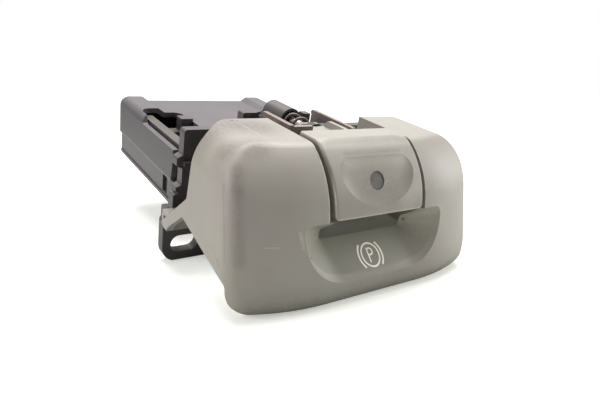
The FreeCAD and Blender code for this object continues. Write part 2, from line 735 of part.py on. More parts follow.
# Spring cradle: a small open box in front of the plate that seats the spring and guides the rod.
cradle = newBody("spring_cradle")
seatFront = size("seatFront")
cradleRear = plateFront - 0.02
slab(cradle, "floor", "XY_Plane", 34.4, 36.2, [box2(-16.0, 20.0, 34.5, cradleRear)])
slab(cradle, "left", "YZ_Plane", -16.0, -14.2, [roundedLoop([
    (34.5, 34.6, 0), (cradleRear, 34.6, 0), (cradleRear, 46.3, 1.5), (34.5, 46.3, 0),
])])
slab(cradle, "leftWindow", "YZ_Plane", -17.0, -13.0, [box2(46.8, 50.4, 40.0, 44.2, 0.4)], True)
slab(cradle, "crossWall", "XZ_Plane", 34.5, 36.3, [box2(-16.0, -6.4, 34.6, 45.8)])
slab(cradle, "seatWall", "XZ_Plane", seatFront, springFront, [roundedLoop([
    (-8.0, 35.0, 0), (8.0, 35.0, 0), (8.0, 40.0, 0), (4.0, 43.6, 1.5), (-4.0, 43.6, 1.5), (-8.0, 40.0, 0),
])])
slab(cradle, "right", "YZ_Plane", 18.2, 20.0, [roundedLoop([
    (41.6, 34.6, 0), (cradleRear, 34.6, 0), (cradleRear, plateTop + 0.05, 0), (69.0, plateTop + 0.05, 0),
    (70.5, 42.2, 1), (43.0, 42.2, 1), (41.6, 41.0, 0),
])])
bore = rodRadius + size("runningGap")
slab(cradle, "rodBore", "XZ_Plane", seatFront - 2, springFront + 0.5, [circle2(0, rodLevel, bore)], True)

# Cover: a sleeve with raised side rails and a cut-back front corner on each side.
boxHalf = size("boxHalfWidth")
boxRear = size("boxRear")
coverWall = size("coverWall")
deck = size("deckLevel")
railTop = size("railTop")
step = size("stepLevel")


def coverSection(inset, low):
    wide = boxHalf - inset
    return roundedLoop([
        (-wide, low, 0),
        (wide, low, 0),
        (wide, railTop - inset, 4.2 - inset),
        (28.3 + inset * 0.3, railTop - inset, 1.0),
        (25.3 + inset * 0.3, deck - inset, 1.0),
        (-25.3 - inset * 0.3, deck - inset, 1.0),
        (-28.3 - inset * 0.3, railTop - inset, 1.0),
        (-wide, railTop - inset, 4.2 - inset),
    ])


cover = newBody("housing_cover")
boxFront = size("boxFront")
slab(cover, "sleeve", "XZ_Plane", boxFront, boxRear, [coverSection(0.0, step)])
coverHollow = coverSection(coverWall, step - 1)
slab(cover, "hollow", "XZ_Plane", boxFront - 1, boxRear - coverWall, [coverHollow], True)
for side, label in ((-1, "Left"), (1, "Right")):
    near = min(side * 18.0, side * 36.4)
    deckCut = roundedLoop([
        (near, boxFront - 5, 0), (near + 18.4, boxFront - 5, 0), (near + 18.4, 121.5, 4), (near, 121.5, 4),
    ])
    slab(cover, "deckCut" + label, "XY_Plane", 20.0, 35.0, [deckCut], True)
    sideNear = min(side * 36.3, side * 41.0)
    sideCut = roundedLoop([
        (boxFront - 5, 25.0, 0), (111.0, 25.0, 1.5), (114.0, 31.0, 0), (114.0, 35.0, 0),
        (boxFront - 5, 35.0, 0),
    ])
    slab(cover, "sideCut" + label, "YZ_Plane", sideNear, sideNear + 4.7, [sideCut], True)
slab(cover, "connectorGap", "XZ_Plane", boxRear - 4, boxRear + 1, [box2(-13.8, 13.8, step - 2, 20.0)], True)
for side, label in ((-1, "Left"), (1, "Right")):
    near = min(side * 36.0, side * 40.0)
    slab(cover, "frontRelief" + label, "YZ_Plane", near, near + 4.0, [roundedLoop([
        (boxFront - 1, 11.0, 0), (boxFront + 1.4, 11.0, 0), (boxFront - 1, 24.0, 0),
    ])], True)

# Tray: the lower half, stepped in where the cover slides over it.
tray = newBody("housing_tray")
boxLow = size("boxBottom")
trayHalf = boxHalf - 0.8
slab(tray, "tub", "XZ_Plane", boxFront + 0.6, boxRear - 0.4, [roundedLoop([
    (-trayHalf, boxLow, 0.8), (trayHalf, boxLow, 0.8), (trayHalf, step - 0.02, 0), (36.3, step - 0.02, 0),
    (36.3, step + 1.4, 0.3), (-36.3, step + 1.4, 0.3), (-36.3, step - 0.02, 0), (-trayHalf, step - 0.02, 0),
])])
rearStep = box2(-40, 40, step - 0.02, step + 5)
slab(tray, "rearStep", "XZ_Plane", boxRear - coverWall - 0.2, boxRear, [rearStep], True)
flange = box2(-38.4, 38.4, boxFront + 0.3, boxRear, 1.0)
slab(tray, "flange", "XY_Plane", boxLow + 1.4, boxLow + 2.4, [flange])
tubHollow = box2(-34.3, 34.3, boxFront + 2.6, boxRear - 4.4, 1.0)
slab(tray, "tubHollow", "XY_Plane", boxLow + 2.0, step + 5, [tubHollow], True)
slab(tray, "frontDoor", "XZ_Plane", boxFront - 1, boxFront + 4, [box2(-31.0, 31.0, 9.0, step + 5)], True)
slab(tray, "connectorGap", "XZ_Plane", boxRear - 8, boxRear + 1, [box2(-13.8, 13.8, 6.18, step + 5)], True)
for side, label in ((-1, "Left"), (1, "Right")):
    near = min(side * (trayHalf - 1.4), side * (trayHalf + 1))
    latch = box2(82.2, 87.2, 4.2, 11.2, 0.3)
    slab(tray, "latchWindow" + label, "YZ_Plane", near, near + 2.4, [latch], True)
board = size("boardLevel")
boardTop = board + size("boardThickness")
spots = ((-27.0, 90.0), (27.0, 90.0), (-27.0, 132.0), (27.0, 132.0))
bosses = [circle2(u, v, 3.2) for (u, v) in spots]
slab(tray, "boardBosses", "XY_Plane", boxLow + 1.5, board, bosses)
slab(tray, "screwBores", "XY_Plane", boxLow + 1.0, board, [circle2(u, v, 1.2) for (u, v) in spots], True)

# Circuit board with what it carries, and its four screws.
circuit = newBody("circuit_board")
slab(circuit, "blank", "XY_Plane", board, boardTop, [box2(-33.6, 33.6, boxFront + 4.0, boxRear - 5.4, 1.0)])
screwHoles = [circle2(u, v, 1.6) for (u, v) in spots]
slab(circuit, "screwHoles", "XY_Plane", board - 1, boardTop + 1, screwHoles, True)
headerGap = box2(-13.8, 13.8, boxRear - 7.4, boxRear)
slab(circuit, "headerGap", "XY_Plane", board - 1, boardTop + 1, [headerGap], True)

screws = []
for u, v in spots:
    screw = Part.makeCylinder(1.15, 5.6, Vector(u, v, boardTop - 5.6), Vector(0, 0, 1))
    head = Part.makeCylinder(2.6, 1.0, Vector(u, v, boardTop), Vector(0, 0, 1))
    dome = Part.makeCone(2.6, 1.7, 0.8, Vector(u, v, boardTop + 1.0), Vector(0, 0, 1))
    screw = screw.fuse(head).fuse(dome)
    screw = screw.cut(block(u - 1.4, u + 1.4, v - 0.3, v + 0.3, boardTop + 0.9, boardTop + 3))
    screw = screw.cut(block(u - 0.3, u + 0.3, v - 1.4, v + 1.4, boardTop + 0.9, boardTop + 3))
    screws.append(screw.removeSplitter())
boardScrews = partFeature("board_screws", Part.makeCompound(screws))

chip = newBody("processor_chip")
slab(chip, "package", "XY_Plane", boardTop + 0.1, boardTop + 1.7, [box2(-25.0, -15.0, 112.0, 122.0, 0.4)])
slab(chip, "legs", "XY_Plane", boardTop, boardTop + 0.3, [box2(-26.0, -14.0, 113.0, 121.0)])
slab(chip, "markDot", "XY_Plane", boardTop + 1.5, boardTop + 2.0, [circle2(-23.6, 120.6, 0.5)], True)

capacitor = newBody("filter_capacitor")
slab(capacitor, "can", "XY_Plane", boardTop, boardTop + 9.5, [circle2(22.0, 116.0, 4.0)])
slab(capacitor, "seatRing", "XY_Plane", boardTop, boardTop + 1.2, [box2(17.8, 26.2, 111.8, 120.2, 1.2)])

plungerBodies = []
for side, label in ((-1, "apply"), (1, "rest")):
    centre = side * size("switchOffset")
    body = newBody("switch_" + label)
    slab(body, "case", "XY_Plane", boardTop, boardTop + 6.0, [
        box2(centre - 3.0, centre + 3.0, switchDepth - 6.5, switchDepth + 6.5, 0.4),
    ])
    slab(body, "neck", "XY_Plane", boardTop + 5.5, boardTop + 6.4, [circle2(centre, switchDepth, 2.2)])
    plungerBore = size("plungerDiameter") / 2 + 0.06
    boreCircle = circle2(centre, switchDepth, plungerBore)
    slab(body, "bore", "XY_Plane", boardTop + 2.0, boardTop + 7.0, [boreCircle], True)
    plungerTop = plungerHigh if side < 0 else plungerLow
    stem = newBody("plunger_" + label)
    stemCircle = circle2(centre, switchDepth, size("plungerDiameter") / 2)
    slab(stem, "stem", "XY_Plane", plungerTop - 4.6, plungerTop - 0.4, [stemCircle])
    slab(stem, "tip", "XY_Plane", plungerTop - 0.5, plungerTop, [circle2(centre, switchDepth, 0.7)])
    plungerBodies.append(stem)

# Connector header at the back, with its row of terminals.
header = newBody("connector_header")
headerRear = boxRear + 9.0
slab(header, "shroud", "XZ_Plane", boxRear - 7.0, headerRear, [box2(-13.6, 13.6, 6.2, 19.8, 1.2)])
slab(header, "socket", "XZ_Plane", boxRear - 4.6, headerRear + 1, [box2(-12.0, 12.0, 7.8, 18.2, 0.6)], True)
slab(header, "keyRib", "YZ_Plane", -1.2, 1.2, [box2(boxRear + 0.2, headerRear - 1.0, 19.6, 21.4)])
terminalSpots = []
for line in (11.0, 15.0):
    for place in (-8.4, -2.8, 2.8, 8.4):
        terminalSpots.append((place, line))
pinHoles = [box2(u - 0.5, u + 0.5, v - 0.5, v + 0.5) for (u, v) in terminalSpots]
slab(header, "pinHoles", "XZ_Plane", boxRear - 8.0, boxRear, pinHoles, True)
terminals = []
for u, v in terminalSpots:
    blade = block(u - 0.45, u + 0.45, boxRear - 8.4, boxRear + 4.5, v - 0.45, v + 0.45)
    leg = block(u - 0.45, u + 0.45, boxRear - 9.3, boxRear - 8.4, boardTop, v + 0.45)
    terminals.append(blade.fuse(leg).removeSplitter())
terminalPins = partFeature("terminal_pins", Part.makeCompound(terminals))

doc.recompute()
moduleParts = [
    bezel, pullHandle, statusLens, lampBoard, statusLamp, releaseSwitch, handleBacking, releaseButton,
    pullRod, rodClip, stopBumper, returnSpring, switchSlider, carrier, cradle, cover, tray, circuit,
    boardScrews, chip, capacitor, header, terminalPins,
]
for item in doc.Objects:
    if item.TypeId == "PartDesign::Body" and item not in moduleParts:
        moduleParts.append(item)
for item in doc.Objects:
    if "Invalid" in item.State or "Error" in item.State:
        raise RuntimeError("bad state in " + item.Label)
for item in moduleParts:
    item.Placement = mountShift.multiply(item.Placement)
doc.recompute()
for item in moduleParts:
    shape = item.Shape
    if shape.isNull() or not shape.isValid():
        raise RuntimeError("bad shape in " + item.Label)
    print(item.Label, len(shape.Solids), "volume", round(shape.Volume, 1))
    shape.exportStep("parts/" + item.Label + ".step")
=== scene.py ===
import math

import bpy
from mathutils import Matrix, Vector


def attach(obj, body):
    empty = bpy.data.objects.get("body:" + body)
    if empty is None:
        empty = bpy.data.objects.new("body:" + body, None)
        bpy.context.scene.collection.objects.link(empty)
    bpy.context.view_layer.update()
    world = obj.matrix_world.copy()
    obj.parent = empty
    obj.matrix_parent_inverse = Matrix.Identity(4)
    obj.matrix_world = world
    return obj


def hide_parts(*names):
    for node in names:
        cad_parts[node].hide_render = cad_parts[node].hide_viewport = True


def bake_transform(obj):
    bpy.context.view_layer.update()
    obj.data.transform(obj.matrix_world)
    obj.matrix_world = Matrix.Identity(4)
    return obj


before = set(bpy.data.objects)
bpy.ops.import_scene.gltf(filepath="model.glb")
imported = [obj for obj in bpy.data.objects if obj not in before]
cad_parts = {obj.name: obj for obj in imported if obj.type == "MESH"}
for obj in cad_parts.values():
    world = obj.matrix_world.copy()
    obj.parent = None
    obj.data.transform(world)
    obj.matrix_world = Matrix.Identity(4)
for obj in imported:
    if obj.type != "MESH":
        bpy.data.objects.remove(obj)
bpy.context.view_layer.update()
print("frame loaded", len(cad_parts), "nodes")

mm = 0.001
slotSeat = {"depth": 53.5, "height": -2.5}


# A point measured in millimetres from the bezel's bottom front, in the frame of the lug slots.
def place(across, depth, height):
    return Vector((across * mm, (depth - slotSeat["depth"]) * mm, (height - slotSeat["height"]) * mm))


def addNode(tree, kind, **values):
    node = tree.nodes.new(kind)
    for key, value in values.items():
        setattr(node, key, value)
    return node


# Shared shading: a slow tone change, a fine grain and a soft film of dust on what faces up.
toneShape = {
    "slowDetail": 4.0,
    "grainDetail": 2.0,
    "spreadLow": 0.35,
    "spreadHigh": 0.65,
    "dustFrom": 0.35,
    "roughSwing": 0.12,
}


def makeToneGroup():
    group = bpy.data.node_groups.new("toneAndGrain", "ShaderNodeTree")
    for name, kind, start in (
        ("Base", "NodeSocketColor", (0.5, 0.5, 0.5, 1.0)),
        ("Shade", "NodeSocketColor", (0.4, 0.4, 0.4, 1.0)),
        ("Dust", "NodeSocketColor", (0.7, 0.68, 0.64, 1.0)),
        ("Dust Amount", "NodeSocketFloat", 0.1),
        ("Tone Scale", "NodeSocketFloat", 60.0),
        ("Grain Scale", "NodeSocketFloat", 3500.0),
        ("Roughness", "NodeSocketFloat", 0.5),
    ):
        socket = group.interface.new_socket(name=name, in_out="INPUT", socket_type=kind)
        socket.default_value = start
    for name, kind in (
        ("Color", "NodeSocketColor"),
        ("Roughness", "NodeSocketFloat"),
        ("Height", "NodeSocketFloat"),
    ):
        group.interface.new_socket(name=name, in_out="OUTPUT", socket_type=kind)
    enter = addNode(group, "NodeGroupInput")
    leave = addNode(group, "NodeGroupOutput")
    coords = addNode(group, "ShaderNodeTexCoord")
    slow = addNode(group, "ShaderNodeTexNoise")
    slow.inputs["Detail"].default_value = toneShape["slowDetail"]
    grain = addNode(group, "ShaderNodeTexNoise")
    grain.inputs["Detail"].default_value = toneShape["grainDetail"]
    link = group.links.new
    link(coords.outputs["Object"], slow.inputs["Vector"])
    link(coords.outputs["Object"], grain.inputs["Vector"])
    link(enter.outputs["Tone Scale"], slow.inputs["Scale"])
    link(enter.outputs["Grain Scale"], grain.inputs["Scale"])
    spread = addNode(group, "ShaderNodeMapRange")
    spread.inputs["From Min"].default_value = toneShape["spreadLow"]
    spread.inputs["From Max"].default_value = toneShape["spreadHigh"]
    link(slow.outputs["Fac"], spread.inputs["Value"])
    tone = addNode(group, "ShaderNodeMix", data_type="RGBA")
    link(spread.outputs["Result"], tone.inputs["Factor"])
    link(enter.outputs["Base"], tone.inputs["A"])
    link(enter.outputs["Shade"], tone.inputs["B"])
    geometry = addNode(group, "ShaderNodeNewGeometry")
    split = addNode(group, "ShaderNodeSeparateXYZ")
    link(geometry.outputs["Normal"], split.inputs["Vector"])
    facing = addNode(group, "ShaderNodeMapRange")
    facing.inputs["From Min"].default_value = toneShape["dustFrom"]
    facing.inputs["From Max"].default_value = 1.0
    link(split.outputs["Z"], facing.inputs["Value"])
    patches = addNode(group, "ShaderNodeMath", operation="MULTIPLY")
    link(facing.outputs["Result"], patches.inputs[0])
    link(grain.outputs["Fac"], patches.inputs[1])
    amount = addNode(group, "ShaderNodeMath", operation="MULTIPLY")
    link(patches.outputs[0], amount.inputs[0])
    link(enter.outputs["Dust Amount"], amount.inputs[1])
    dusty = addNode(group, "ShaderNodeMix", data_type="RGBA")
    link(amount.outputs[0], dusty.inputs["Factor"])
    link(tone.outputs["Result"], dusty.inputs["A"])
    link(enter.outputs["Dust"], dusty.inputs["B"])
    rough = addNode(group, "ShaderNodeMath", operation="MULTIPLY_ADD")
    link(slow.outputs["Fac"], rough.inputs[0])
    rough.inputs[1].default_value = toneShape["roughSwing"]
    link(enter.outputs["Roughness"], rough.inputs[2])
    link(dusty.outputs["Result"], leave.inputs["Color"])
    link(rough.outputs[0], leave.inputs["Roughness"])
    link(grain.outputs["Fac"], leave.inputs["Height"])
    return group


toneGroup = makeToneGroup()


# A soft mark along a line between two points: a scratch, a nick, a scuff, a painted highlight or a band of
# painted shade.
markShape = {"noise": 900.0, "breakLow": 0.3, "breakHigh": 0.6, "faintest": 0.6}


def makeMarkGroup():
    group = bpy.data.node_groups.new("lineMark", "ShaderNodeTree")
    for name, kind in (
        ("Color", "NodeSocketColor"),
        ("Mark", "NodeSocketColor"),
        ("Start", "NodeSocketVector"),
        ("End", "NodeSocketVector"),
        ("Width", "NodeSocketFloat"),
        ("Strength", "NodeSocketFloat"),
    ):
        group.interface.new_socket(name=name, in_out="INPUT", socket_type=kind)
    group.interface.new_socket(name="Color", in_out="OUTPUT", socket_type="NodeSocketColor")
    enter = addNode(group, "NodeGroupInput")
    leave = addNode(group, "NodeGroupOutput")
    coords = addNode(group, "ShaderNodeTexCoord")
    link = group.links.new

    def vectorMath(operation, *sources):
        node = addNode(group, "ShaderNodeVectorMath", operation=operation)
        for i, source in enumerate(sources):
            link(source, node.inputs[i])
        return node

    run = vectorMath("SUBTRACT", enter.outputs["End"], enter.outputs["Start"])
    reach = vectorMath("SUBTRACT", coords.outputs["Object"], enter.outputs["Start"])
    along = vectorMath("DOT_PRODUCT", reach.outputs["Vector"], run.outputs["Vector"])
    whole = vectorMath("DOT_PRODUCT", run.outputs["Vector"], run.outputs["Vector"])
    share = addNode(group, "ShaderNodeMath", operation="DIVIDE", use_clamp=True)
    link(along.outputs["Value"], share.inputs[0])
    link(whole.outputs["Value"], share.inputs[1])
    step = addNode(group, "ShaderNodeVectorMath", operation="SCALE")
    link(run.outputs["Vector"], step.inputs[0])
    link(share.outputs[0], step.inputs["Scale"])
    gap = vectorMath("DISTANCE", reach.outputs["Vector"], step.outputs["Vector"])
    fade = addNode(group, "ShaderNodeMapRange", interpolation_type="SMOOTHSTEP")
    fade.inputs["To Min"].default_value = 1.0
    fade.inputs["To Max"].default_value = 0.0
    link(gap.outputs["Value"], fade.inputs["Value"])
    link(enter.outputs["Width"], fade.inputs["From Max"])
    breakUp = addNode(group, "ShaderNodeTexNoise")
    breakUp.inputs["Scale"].default_value = markShape["noise"]
    link(coords.outputs["Object"], breakUp.inputs["Vector"])
    broken = addNode(group, "ShaderNodeMapRange")
    broken.inputs["From Min"].default_value = markShape["breakLow"]
    broken.inputs["From Max"].default_value = markShape["breakHigh"]
    broken.inputs["To Min"].default_value = markShape["faintest"]
    link(breakUp.outputs["Fac"], broken.inputs["Value"])
    patchy = addNode(group, "ShaderNodeMath", operation="MULTIPLY")
    link(fade.outputs["Result"], patchy.inputs[0])
    link(broken.outputs["Result"], patchy.inputs[1])
    amount = addNode(group, "ShaderNodeMath", operation="MULTIPLY")
    link(patchy.outputs[0], amount.inputs[0])
    link(enter.outputs["Strength"], amount.inputs[1])
    mixed = addNode(group, "ShaderNodeMix", data_type="RGBA")
    link(amount.outputs[0], mixed.inputs["Factor"])
    link(enter.outputs["Color"], mixed.inputs["A"])
    link(enter.outputs["Mark"], mixed.inputs["B"])
    link(mixed.outputs["Result"], leave.inputs["Color"])
    return group


markGroup = makeMarkGroup()


# Smooth olive tone where the surface lies behind the raked front, inside the scoop: the scoop's own olive
# colour, darkened with painted shade of the recess.
scoopShape = {
    "frontPoint": (0, 2.2, 29.5),
    "rake": math.radians(15),
    "shallow": 0.9,
    "deep": 2.2,
    "top": 27.0,
    "halfWidth": 30.5,
}


def makeScoopGroup():
    group = bpy.data.node_groups.new("scoopToneAndShade", "ShaderNodeTree")
    for name, kind in (("Color", "NodeSocketColor"), ("Inside", "NodeSocketColor")):
        group.interface.new_socket(name=name, in_out="INPUT", socket_type=kind)
    for name, kind in (("Color", "NodeSocketColor"), ("Mask", "NodeSocketFloat")):
        group.interface.new_socket(name=name, in_out="OUTPUT", socket_type=kind)
    enter = addNode(group, "NodeGroupInput")
    leave = addNode(group, "NodeGroupOutput")
    coords = addNode(group, "ShaderNodeTexCoord")
    link = group.links.new
    fromEdge = addNode(group, "ShaderNodeVectorMath", operation="SUBTRACT")
    fromEdge.inputs[1].default_value = place(*scoopShape["frontPoint"])
    link(coords.outputs["Object"], fromEdge.inputs[0])
    depth = addNode(group, "ShaderNodeVectorMath", operation="DOT_PRODUCT")
    depth.inputs[1].default_value = (0, math.cos(scoopShape["rake"]), -math.sin(scoopShape["rake"]))
    link(fromEdge.outputs["Vector"], depth.inputs[0])
    deep = addNode(group, "ShaderNodeMapRange", interpolation_type="SMOOTHSTEP")
    deep.inputs["From Min"].default_value = scoopShape["shallow"] * mm
    deep.inputs["From Max"].default_value = scoopShape["deep"] * mm
    link(depth.outputs["Value"], deep.inputs["Value"])
    split = addNode(group, "ShaderNodeSeparateXYZ")
    link(coords.outputs["Object"], split.inputs["Vector"])
    below = addNode(group, "ShaderNodeMath", operation="LESS_THAN")
    below.inputs[1].default_value = place(0, 0, scoopShape["top"]).z
    link(split.outputs["Z"], below.inputs[0])
    across = addNode(group, "ShaderNodeMath", operation="ABSOLUTE")
    link(split.outputs["X"], across.inputs[0])
    within = addNode(group, "ShaderNodeMath", operation="LESS_THAN")
    within.inputs[1].default_value = scoopShape["halfWidth"] * mm
    link(across.outputs[0], within.inputs[0])
    both = addNode(group, "ShaderNodeMath", operation="MULTIPLY")
    link(below.outputs[0], both.inputs[0])
    link(within.outputs[0], both.inputs[1])
    mask = addNode(group, "ShaderNodeMath", operation="MULTIPLY")
    link(both.outputs[0], mask.inputs[0])
    link(deep.outputs["Result"], mask.inputs[1])
    mixed = addNode(group, "ShaderNodeMix", data_type="RGBA")
    link(mask.outputs[0], mixed.inputs["Factor"])
    link(enter.outputs["Color"], mixed.inputs["A"])
    link(enter.outputs["Inside"], mixed.inputs["B"])
    link(mixed.outputs["Result"], leave.inputs["Color"])
    link(mask.outputs[0], leave.inputs["Mask"])
    return group


scoopGroup = makeScoopGroup()


# Normal of the handle's swept front, mixed in over the thumb dish so that it reads as a shallow dip.
dishShape = {
    "sweepAxis": (0, 29.25, 22.25),
    "centre": (0, 8.0, 40.5),
    "inner": 16.5,
    "outer": 22.5,
    "fadeLow": 36.5,
    "fadeTop": 41.5,
    "frontOnly": -0.05,
}


def makeDishGroup():
    group = bpy.data.node_groups.new("softDish", "ShaderNodeTree")
    group.interface.new_socket(name="Normal", in_out="INPUT", socket_type="NodeSocketVector")
    group.interface.new_socket(name="Amount", in_out="INPUT", socket_type="NodeSocketFloat")
    group.interface.new_socket(name="Normal", in_out="OUTPUT", socket_type="NodeSocketVector")
    enter = addNode(group, "NodeGroupInput")
    leave = addNode(group, "NodeGroupOutput")
    coords = addNode(group, "ShaderNodeTexCoord")
    link = group.links.new
    # The swept normal turns about a level axis across the handle.
    fromAxis = addNode(group, "ShaderNodeVectorMath", operation="SUBTRACT")
    fromAxis.inputs[1].default_value = place(*dishShape["sweepAxis"])
    link(coords.outputs["Object"], fromAxis.inputs[0])
    flat = addNode(group, "ShaderNodeVectorMath", operation="MULTIPLY")
    flat.inputs[1].default_value = (0, 1, 1)
    link(fromAxis.outputs["Vector"], flat.inputs[0])
    swept = addNode(group, "ShaderNodeVectorMath", operation="NORMALIZE")
    link(flat.outputs["Vector"], swept.inputs[0])
    reach = addNode(group, "ShaderNodeVectorMath", operation="DISTANCE")
    reach.inputs[1].default_value = place(*dishShape["centre"])
    link(coords.outputs["Object"], reach.inputs[0])
    near = addNode(group, "ShaderNodeMapRange", interpolation_type="SMOOTHSTEP")
    near.inputs["From Min"].default_value = dishShape["inner"] * mm
    near.inputs["From Max"].default_value = dishShape["outer"] * mm
    near.inputs["To Min"].default_value = 1.0
    near.inputs["To Max"].default_value = 0.0
    link(reach.outputs["Value"], near.inputs["Value"])
    geometry = addNode(group, "ShaderNodeNewGeometry")
    split = addNode(group, "ShaderNodeSeparateXYZ")
    link(geometry.outputs["Normal"], split.inputs["Vector"])
    front = addNode(group, "ShaderNodeMath", operation="LESS_THAN")
    front.inputs[1].default_value = dishShape["frontOnly"]
    link(split.outputs["Y"], front.inputs[0])
    amount = addNode(group, "ShaderNodeMath", operation="MULTIPLY")
    link(near.outputs["Result"], amount.inputs[0])
    link(front.outputs[0], amount.inputs[1])
    # The dish fades out towards its upper edge.
    level = addNode(group, "ShaderNodeSeparateXYZ")
    link(coords.outputs["Object"], level.inputs["Vector"])
    upper = addNode(group, "ShaderNodeMapRange", interpolation_type="SMOOTHSTEP")
    upper.inputs["From Min"].default_value = place(0, 0, dishShape["fadeLow"]).z
    upper.inputs["From Max"].default_value = place(0, 0, dishShape["fadeTop"]).z
    upper.inputs["To Max"].default_value = 1.0
    link(level.outputs["Z"], upper.inputs["Value"])
    link(enter.outputs["Amount"], upper.inputs["To Min"])
    share = addNode(group, "ShaderNodeMath", operation="MULTIPLY")
    link(amount.outputs[0], share.inputs[0])
    link(upper.outputs["Result"], share.inputs[1])
    mixed = addNode(group, "ShaderNodeMix", data_type="VECTOR")
    link(share.outputs[0], mixed.inputs["Factor"])
    link(enter.outputs["Normal"], mixed.inputs["A"])
    link(swept.outputs["Vector"], mixed.inputs["B"])
    whole = addNode(group, "ShaderNodeVectorMath", operation="NORMALIZE")
    link(mixed.outputs["Result"], whole.inputs[0])
    link(whole.outputs["Vector"], leave.inputs["Normal"])
    return group


dishGroup = makeDishGroup()


# What a finish has where its own settings say nothing.
plainFinish = {
    "dust": (0.5, 0.48, 0.44),
    "dustAmount": 0.15,
    "toneScale": 60.0,
    "grainScale": 3500.0,
    "roughness": 0.5,
    "bump": 0.2,
    "bumpDepth": 0.00006,
    "metallic": 0.0,
    "specular": 0.5,
    "coat": 0.0,
    "clear": 0.0,
    "bend": 1.46,
    "marks": (),
}


def makeFinish(name, ownSettings):
    settings = {**plainFinish, **ownSettings}
    material = bpy.data.materials.new(name)
    material.use_nodes = True
    tree = material.node_tree
    tree.nodes.clear()
    out = addNode(tree, "ShaderNodeOutputMaterial")
    shader = addNode(tree, "ShaderNodeBsdfPrincipled")
    tone = addNode(tree, "ShaderNodeGroup", node_tree=toneGroup)
    tone.inputs["Base"].default_value = (*settings["base"], 1.0)
    tone.inputs["Shade"].default_value = (*settings["shade"], 1.0)
    tone.inputs["Dust"].default_value = (*settings["dust"], 1.0)
    tone.inputs["Dust Amount"].default_value = settings["dustAmount"]
    tone.inputs["Tone Scale"].default_value = settings["toneScale"]
    tone.inputs["Grain Scale"].default_value = settings["grainScale"]
    tone.inputs["Roughness"].default_value = settings["roughness"]
    bump = addNode(tree, "ShaderNodeBump")
    bump.inputs["Strength"].default_value = settings["bump"]
    bump.inputs["Distance"].default_value = settings["bumpDepth"]
    link = tree.links.new
    colour = tone.outputs["Color"]
    if "inside" in settings:
        scoop = addNode(tree, "ShaderNodeGroup", node_tree=scoopGroup)
        scoop.inputs["Inside"].default_value = (*settings["inside"], 1.0)
        link(colour, scoop.inputs["Color"])
        colour = scoop.outputs["Color"]
    for start, end, width, markColour, strength in settings["marks"]:
        mark = addNode(tree, "ShaderNodeGroup", node_tree=markGroup)
        mark.inputs["Start"].default_value = place(*start)
        mark.inputs["End"].default_value = place(*end)
        mark.inputs["Width"].default_value = width * mm
        mark.inputs["Mark"].default_value = (*markColour, 1.0)
        mark.inputs["Strength"].default_value = strength
        link(colour, mark.inputs["Color"])
        colour = mark.outputs["Color"]
    link(colour, shader.inputs["Base Color"])
    link(tone.outputs["Roughness"], shader.inputs["Roughness"])
    link(tone.outputs["Height"], bump.inputs["Height"])
    normal = bump.outputs["Normal"]
    if "softDish" in settings:
        dish = addNode(tree, "ShaderNodeGroup", node_tree=dishGroup)
        dish.inputs["Amount"].default_value = settings["softDish"]
        link(normal, dish.inputs["Normal"])
        normal = dish.outputs["Normal"]
    link(normal, shader.inputs["Normal"])
    shader.inputs["Metallic"].default_value = settings["metallic"]
    shader.inputs["IOR"].default_value = settings["bend"]
    shader.inputs["Specular IOR Level"].default_value = settings["specular"]
    shader.inputs["Coat Weight"].default_value = settings["coat"]
    shader.inputs["Transmission Weight"].default_value = settings["clear"]
    link(shader.outputs["BSDF"], out.inputs["Surface"])
    return material


